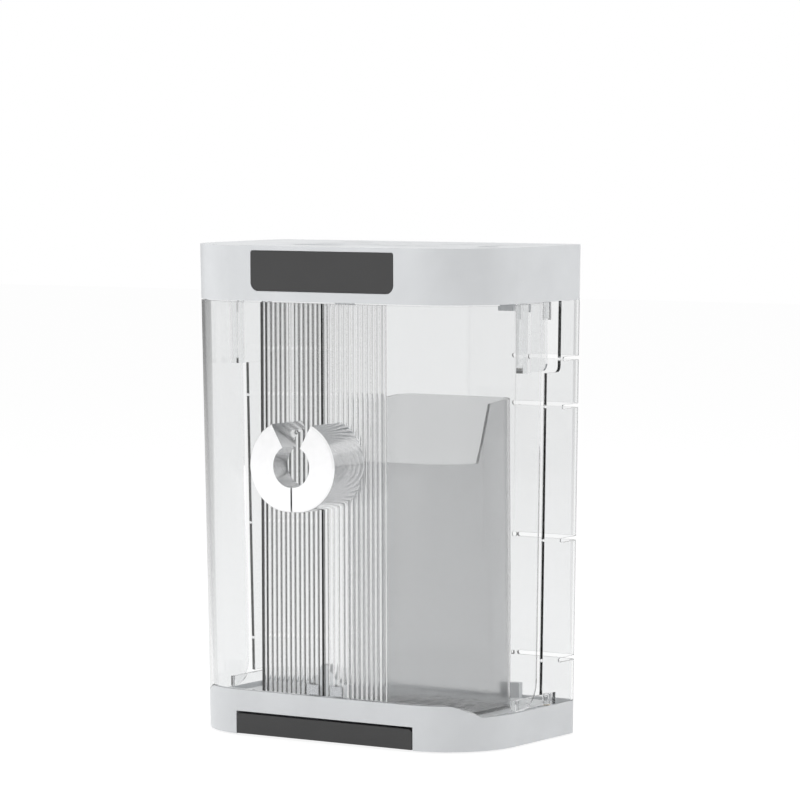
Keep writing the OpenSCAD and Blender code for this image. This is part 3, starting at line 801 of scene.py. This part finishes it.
@dataclass
class ScrewRow:
    """A set of cross-head screws, set on points by one node tree.

    Attributes:
        node: node of plain screws that it replaces.
        facing: way that the heads face.
        sunk: true where the heads are countersunk.
        head_h: height of a head in metres.
        shank_r: radius of a shank in metres.
        under: share of the head's radius that is left at its underside.
    """

    node: str
    facing: Facing
    sunk: bool = False
    head_h: float = 1.5 * MM
    shank_r: float = 1.4 * MM
    under: float = 0.97

    def build(self, bench: Bench) -> None:
        """Makes the screws and puts them in place of their plain node.

        Args:
            bench: what the builders share.
        """
        axis, end, turn = self.facing.value
        boxes = islands(bench.frame["nodes"][self.node])
        seats = []
        for corners in boxes:
            seat = (corners[0] + corners[1]) / 2.0
            seat[axis] = corners[end][axis]
            seats.append(tuple(seat))
        span = boxes[0][1] - boxes[0][0]
        head_r = span[0] / 2.0
        group = bpy.data.node_groups.get(ScrewTree.NAME) or ScrewTree().group
        mesh = bpy.data.meshes.new(self.node)
        mesh.from_pydata(seats, [], [])
        piece = link(f"{self.node}_skin", mesh)
        modifier = piece.modifiers.new("screws", "NODES")
        modifier.node_group = group
        values = {
            "Head radius": head_r,
            "Under-head radius": self.shank_r if self.sunk else head_r * self.under,
            "Head height": self.head_h,
            "Shank radius": self.shank_r,
            "Shank length": span[axis] - self.head_h,
            "Turn": turn,
            "Finish": bench.finishes.by_slot[bench.slot_of[self.node]],
        }
        for item in group.interface.items_tree:
            if item.in_out == "INPUT" and item.name in values:
                modifier[item.identifier] = values[item.name]
        bake_modifiers(piece)
        smooth(piece)
        bench.settle(piece, bench.body_of[self.node], bench.slot_of[self.node], self.node)


@dataclass
class Cabinet:
    """The fixed parts: base, shell, cap, deck, cup and what they hold."""

    ROUNDED: ClassVar[tuple[tuple[str, float, int], ...]] = (
        ("top_cap", 1.2 * MM, 3),
        ("base_shell", 0.7 * MM, 3),
        ("knife_deck", 0.7 * MM, 2),
        ("cap_fascia", 0.4 * MM, 2),
        ("drain_grid", 0.4 * MM, 2),
        ("door_catch", 0.6 * MM, 2),
        ("rear_shell", 0.35 * MM, 2),
        ("chopstick_cup", 0.5 * MM, 2),
        ("rubber_feet", 0.4 * MM, 2),
        ("slot_sleeves", 0.3 * MM, 2),
    )
    KEPT: ClassVar[tuple[str, ...]] = ("catch_magnets", "hinge_bushes")

    def build(self, bench: Bench) -> None:
        """Rounds and dresses the fixed parts.

        Args:
            bench: what the builders share.
        """
        for node, radius, segments in self.ROUNDED:
            bench.rounded(node, radius, segments)
        for node in self.KEPT:
            bench.keep(node)
        ScrewRow("shell_screws", Facing.BACK, sunk=True).build(bench)
        ScrewRow("deck_screws", Facing.DOWN).build(bench)


@dataclass
class Door:
    """One clear door with its half of the ring handle.

    Attributes:
        side: "right" or "left", as the nodes are named.
        rib_shade: how strong the shade painted along its ribs is, from 0 to 1.
        edge_r: rounding of the door's edges.
        ring_edge_r: rounding of the handle's edges.
        strike_edge_r: rounding of the strike's edges.
        pin_edge_r: rounding of the pins' edges.
        strike_gap: depth by which the strike is drawn in from the door.
        band_w: distance from the seam within which faces belong to the ribbed band.
        ribs_w: distance from the seam at which the ribs end and the bead begins.
        seam_w: distance from the middle within which faces belong to the seam.
        band_depth: depth of the band behind the door's front.
        long_face: height above which a face runs along a rib.
        flank: sideways lean of a rib's face at which its painted shade begins and is full.
        bead_flank: the same for the bead that borders the ribs.
    """

    side: str
    rib_shade: float
    edge_r: float = 0.3 * MM
    ring_edge_r: float = 0.35 * MM
    strike_edge_r: float = 0.15 * MM
    pin_edge_r: float = 0.3 * MM
    strike_gap: float = 0.05 * MM
    band_w: float = 53.0 * MM
    ribs_w: float = 47.6 * MM
    seam_w: float = 1.0 * MM
    band_depth: float = 6.0 * MM
    long_face: float = 100.0 * MM
    flank: tuple[float, float] = (0.8, 0.9)
    bead_flank: tuple[float, float] = (0.2, 0.5)

    def paint_rib_shade(self, mesh: bpy.types.Mesh) -> None:
        """Paints shade on the flanks of the ribs and on the seam between the doors, as a face attribute.

        Args:
            mesh: the door's mesh, at rest.
        """
        front = min(point.co.y for point in mesh.vertices)
        # Painted shade: full on the seam, scaled by the door's strength on the rib flanks.
        depth = mesh.attributes.new(Clear.PAINTED_RIB_SHADE, "FLOAT", "FACE")
        for face in mesh.polygons:
            heights = [mesh.vertices[index].co.z for index in face.vertices]
            beside = abs(face.center.x)
            near = beside < self.band_w and face.center.y < front + self.band_depth
            if near and max(heights) - min(heights) > self.long_face:
                low, high = self.bead_flank if beside > self.ribs_w else self.flank
                flank_shade = min(max((abs(face.normal.x) - low) / (high - low), 0.0), 1.0)
                depth.data[face.index].value = flank_shade if beside < self.seam_w else flank_shade * self.rib_shade

    def build(self, bench: Bench) -> None:
        """Rounds and dresses the door, its handle and its fittings.

        Args:
            bench: what the builders share.
        """
        door = bench.rounded(f"{self.side}_door", self.edge_r)
        self.paint_rib_shade(door.data)
        bench.rounded(f"{self.side}_handle", self.ring_edge_r)
        bench.rounded(f"{self.side}_strike", self.strike_edge_r, shrink=self.strike_gap)
        bench.rounded(f"{self.side}_hinge_pins", self.pin_edge_r)
        ScrewRow(f"{self.side}_handle_screws", Facing.BACK).build(bench)


@dataclass
class DripTray:
    """The tray and its dark front.

    Attributes:
        edge_r: rounding of the tray's edges.
        front_edge_r: rounding of the front's edges.
    """

    edge_r: float = 0.4 * MM
    front_edge_r: float = 0.5 * MM

    def build(self, bench: Bench) -> None:
        """Rounds and dresses the tray and its front.

        Args:
            bench: what the builders share.
        """
        bench.rounded("drip_tray", self.edge_r)
        bench.rounded("tray_front", self.front_edge_r, 3)
        ScrewRow("tray_screws", Facing.BACK).build(bench)


@dataclass(frozen=True)
class Lamp:
    """A soft rectangular lamp that faces the object and isn't mirrored in it.

    Attributes:
        name: the lamp's name.
        place: its place in metres.
        size: its width and height in metres.
        power: its power in watts.
        aim_h: height of the point that it faces, in metres.
    """

    name: str
    place: tuple[float, float, float]
    size: tuple[float, float]
    power: float
    aim_h: float = 0.17

    def hang(self) -> None:
        """Puts the lamp into the scene."""
        data = bpy.data.lights.new(self.name, "AREA")
        data.shape = "RECTANGLE"
        data.size, data.size_y = self.size
        data.energy = self.power
        lamp = bpy.data.objects.new(self.name, data)
        lamp.visible_glossy = False
        lamp.visible_transmission = False
        bpy.context.scene.collection.objects.link(lamp)
        place = Vector(self.place)
        way = place - Vector((0.0, 0.0, self.aim_h))
        lamp.matrix_world = Matrix.Translation(place) @ way.to_track_quat("Z", "Y").to_matrix().to_4x4()


@dataclass(frozen=True)
class Flag:
    """A grey upright screen along the line of sight, seen only in gloss and through clear walls.

    Attributes:
        name: the flag's name.
        beside: its distance to the right of the line of sight in metres.
        reach: where it starts and ends along the line of sight, counted from the object.
        grey: its brightness, from which it fades to white on all sides.
        height: height above which it fades, in metres.
        fade: length over which it fades, in metres.
    """

    name: str
    beside: float
    reach: tuple[float, float]
    grey: float
    height: float = 0.5
    fade: float = 0.25

    TONE: ClassVar[str] = "tone"

    def mesh(self, azimuth: float) -> bpy.types.Mesh:
        """Makes the screen, with its brightness as an attribute.

        Args:
            azimuth: turn of the line of sight, in radians.

        Returns:
            The screen's mesh.
        """
        right = Vector((math.cos(azimuth), math.sin(azimuth), 0.0)) * self.beside
        away = Vector((-math.sin(azimuth), math.cos(azimuth), 0.0))
        start, end = self.reach
        columns = ((start - self.fade, 1.0), (start, self.grey), (end, self.grey), (end + self.fade, 1.0))
        top = self.height + self.fade
        rows = ((0.0, True), (self.fade, False), (self.height, False), (top, True))
        points, tones = [], []
        for height, faded in rows:
            for place, tone in columns:
                points.append(tuple(right + away * place + Vector((0.0, 0.0, height))))
                tones.append(1.0 if faded else tone)
        count = len(columns)
        starts = [row * count + column for row in range(len(rows) - 1) for column in range(count - 1)]
        mesh = bpy.data.meshes.new(self.name)
        mesh.from_pydata(points, [], [(at, at + 1, at + 1 + count, at + count) for at in starts])
        shade = mesh.color_attributes.new(self.TONE, "FLOAT_COLOR", "POINT")
        for spot, tone in zip(shade.data, tones):
            spot.color = (tone, tone, tone, 1.0)
        return mesh

    def raise_at(self, azimuth: float) -> None:
        """Puts the flag into the scene.

        Args:
            azimuth: turn of the line of sight, in radians.
        """
        mesh = self.mesh(azimuth)
        flag = link(self.name, mesh)
        tree = ShaderTree.material(self.name)
        glow = tree.add("ShaderNodeEmission", Strength=1.0)
        tree.join(tree.attribute(self.TONE).outputs["Color"], glow.inputs["Color"])
        tree.show(glow.outputs["Emission"])
        mesh.materials.append(tree.owner)
        flag.visible_camera = False
        flag.visible_diffuse = False
        flag.visible_shadow = False


@dataclass
class Stage:
    """Camera, light, floor and surroundings.

    Attributes:
        azimuth: turn of the view round the object, in degrees.
        elevation: height of the view, in degrees.
        roll: turn of the picture round the line of sight, in degrees.
        distance: distance of the camera from its target, in metres.
        target: point at the middle of the picture, in metres.
        lens: focal length in millimetres.
        sensor: width of the sensor in millimetres.
        sight: farthest distance that the camera shows, in metres.
        ambient: strength of the surroundings' light on the object.
        floor_reach: half of the floor's width in metres.
        floor_grey: the floor's colour for the light that it throws back.
        shadow_grey: the floor's colour that takes the shadow, where it is seen.
        floor_glow: the floor's own brightness, where it is seen.
        bounces: turns that a ray may take through clear walls.
        gloss_bounces: turns that a ray may take between glossy faces.
    """

    azimuth: float = 34.0
    elevation: float = 3.912
    roll: float = -0.19
    distance: float = 2.8368
    target: tuple[float, float, float] = (0.01319, 0.0269, 0.23177)
    lens: float = 183.98
    sensor: float = 36.0
    sight: float = 50.0
    ambient: float = 0.57
    floor_reach: float = 6.0
    floor_grey: float = 0.85
    shadow_grey: float = 0.26
    floor_glow: float = 0.865
    bounces: int = 32
    gloss_bounces: int = 12

    LAMPS: ClassVar[tuple[Lamp, ...]] = (
        Lamp("key", (-1.05, -1.7, 0.7), (1.4, 1.4), 20.0),
        Lamp("side", (1.87, 0.45, 0.7), (1.4, 1.4), 13.0),
        Lamp("top", (0.0, 0.2, 1.8), (1.4, 1.0), 8.0),
    )
    FLAGS: ClassVar[tuple[Flag, ...]] = (
        Flag("flag_left", -0.34, (0.4, 1.5), 0.3),
        Flag("flag_right", 0.215, (0.45, 1.4), 0.7),
        Flag("flag_far", 0.36, (1.4, 3.1), 0.06),
    )

    def camera(self) -> None:
        """Sets the camera at the photograph's viewing angle."""
        turn, lift = math.radians(self.azimuth), math.radians(self.elevation)
        back = Vector((math.sin(turn) * math.cos(lift), -math.cos(turn) * math.cos(lift), math.sin(lift)))
        data = bpy.data.cameras.new("view")
        data.lens = self.lens
        data.sensor_width = self.sensor
        data.clip_end = self.sight
        camera = bpy.data.objects.new("view", data)
        bpy.context.scene.collection.objects.link(camera)
        aim = back.to_track_quat("Z", "Y").to_matrix().to_4x4()
        spin = Matrix.Rotation(math.radians(self.roll), 4, "Z")
        place = Vector(self.target) + back * self.distance
        camera.matrix_world = Matrix.Translation(place) @ aim @ spin
        bpy.context.scene.camera = camera

    def world(self) -> None:
        """Makes white surroundings that light the object at a plain level."""
        world = bpy.data.worlds.new("surroundings")
        tree = ShaderTree(world, "ShaderNodeOutputWorld")
        light = tree.add("ShaderNodeBackground", Strength=self.ambient)
        white = tree.add("ShaderNodeBackground", Color=(1.0, 1.0, 1.0, 1.0), Strength=1.0)
        surface = tree.mix(tree.rays(SEEING), light.outputs["Background"], white.outputs["Background"])
        tree.show(surface)
        bpy.context.scene.world = world

    def floor(self) -> None:
        """Adds the white floor, which keeps a faint shadow."""
        mesh = bpy.data.meshes.new("floor")
        reach = self.floor_reach
        corners = [(-reach, -reach, 0.0), (reach, -reach, 0.0), (reach, reach, 0.0), (-reach, reach, 0.0)]
        mesh.from_pydata(corners, [], [(0, 1, 2, 3)])
        floor = link("floor", mesh)
        tree = ShaderTree.material("white_floor")
        paint = tree.add("ShaderNodeBsdfDiffuse", Color=(*[self.floor_grey] * 3, 1.0))
        thin = tree.add("ShaderNodeBsdfDiffuse", Color=(*[self.shadow_grey] * 3, 1.0))
        glow = tree.add("ShaderNodeEmission", Strength=self.floor_glow)
        seen = tree.add("ShaderNodeAddShader")
        tree.join(thin.outputs["BSDF"], seen.inputs[0])
        tree.join(glow.outputs["Emission"], seen.inputs[1])
        tree.show(tree.mix(tree.rays(SEEING), paint.outputs["BSDF"], seen.outputs["Shader"]))
        mesh.materials.append(tree.owner)

    def build(self) -> None:
        """Sets up the whole stage."""
        scene = bpy.context.scene
        scene.view_settings.view_transform = "Standard"
        scene.cycles.max_bounces = self.bounces
        scene.cycles.transmission_bounces = self.bounces
        scene.cycles.transparent_max_bounces = self.bounces
        scene.cycles.glossy_bounces = self.gloss_bounces
        self.camera()
        for lamp in self.LAMPS:
            lamp.hang()
        for flag in self.FLAGS:
            flag.raise_at(math.radians(self.azimuth))
        self.world()
        self.floor()


def main() -> None:
    """Builds the holder's looks and its stage."""
    logging.basicConfig(level=logging.INFO, format="%(name)s: %(message)s")
    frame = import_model()
    Stage().build()
    bench = Bench(frame, Finishes())
    # Shade is painted strongly along the left door's ribs and faintly along the right door's.
    for part in (Cabinet(), Door("right", rib_shade=0.1), Door("left", rib_shade=0.95), DripTray()):
        part.build(bench)
    LOG.info("%d pieces made", len(bench.made))


if __name__ == "__main__":
    main()
